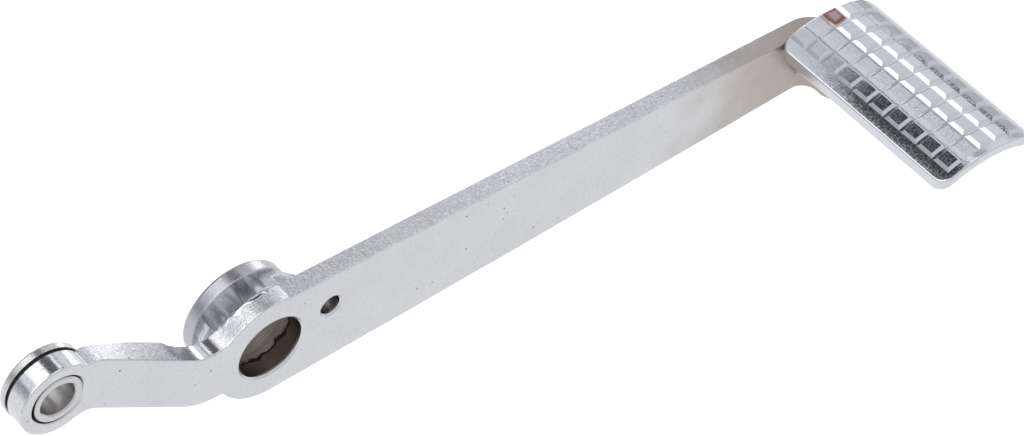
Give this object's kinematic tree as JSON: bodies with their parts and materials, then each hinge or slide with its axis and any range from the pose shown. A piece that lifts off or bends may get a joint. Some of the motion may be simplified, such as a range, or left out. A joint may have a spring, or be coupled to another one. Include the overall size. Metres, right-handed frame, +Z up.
{
  "type": "rear brake pedal",
  "caption": "Plated steel foot lever for a motorbike's rear brake: a cranked plate with a welded pivot hub, a turning eye bush at the rear and an arched toothed foot pad at the front.",
  "frame": {"origin": "on the pivot axis, at the outer face of the plate, 0.6 mm before the pivot bore's wall begins", "axes": "+X forward along the arm's top edge towards the foot pad, +Y inboard along the pivot axis towards the hub, +Z up"},
  "size_m": [0.2912, 0.0834, 0.0514],
  "materials": {
    "plated_plate": "bright plating over a lightly pitted plate",
    "plated_hub": "bright plating on turned steel, bare in the bore",
    "plated_weld": "bright plating over an uneven weld bead",
    "plated_pad": "bright plating with fine pitting and a rust spot",
    "turned_bush": "turned steel",
    "black_washer": "matt black"
  },
  "bodies": {
    "lever": {"lever_arm": "plated_plate", "pivot_hub": "plated_hub", "hub_weld": "plated_weld", "foot_pad": "plated_pad", "pad_weld": "plated_weld", "seal_washer": "black_washer"},
    "bush": {"eye_bush": "turned_bush"}
  },
  "joints": [
    {"name": "bush_turn", "type": "hinge", "parent": "lever", "child": "bush", "pos_m": [-0.066, 0.004, 0.0232], "axis": [0, 1, 0], "continuous": true}
  ]
}
